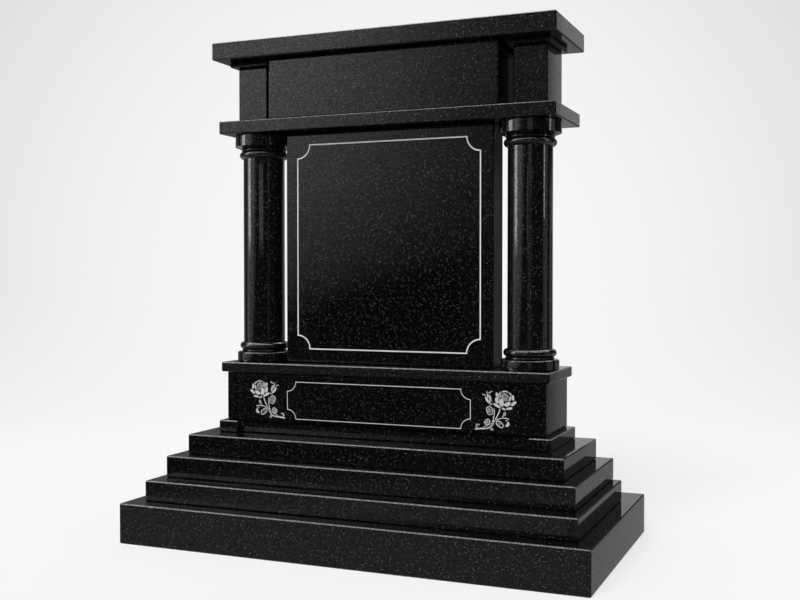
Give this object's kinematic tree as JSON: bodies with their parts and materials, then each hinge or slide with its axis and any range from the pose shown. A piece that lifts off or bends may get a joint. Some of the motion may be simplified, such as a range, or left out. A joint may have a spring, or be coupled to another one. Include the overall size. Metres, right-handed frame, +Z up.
{
  "type": "headstone",
  "caption": "Upright stone memorial with a stepped base, an engraved die, a bare framed tablet between turned columns, and a flat entablature.",
  "frame": {"origin": "on the ground, under the middle of the bottom plinth", "axes": "+Z up, +X to the right of someone facing the engraved front, -Y towards that person"},
  "size_m": [1.396, 0.736, 1.5],
  "materials": {
    "granite": "black granite with fine grey crystals, mirror polished",
    "engraving": "engraved lines and etched roses, pale silver grey, matt"
  },
  "bodies": {
    "root": {"base_plinth": "granite", "step_2": "granite", "step_3": "granite", "step_4": "granite", "base_moulding": "granite", "die": "granite", "die_cap": "granite", "tablet": "granite", "column_left": "granite", "column_right": "granite", "architrave": "granite", "frieze_block": "granite", "post_left": "granite", "post_right": "granite", "post_cap_left": "granite", "post_cap_right": "granite", "cornice": "granite"}
  },
  "joints": []
}
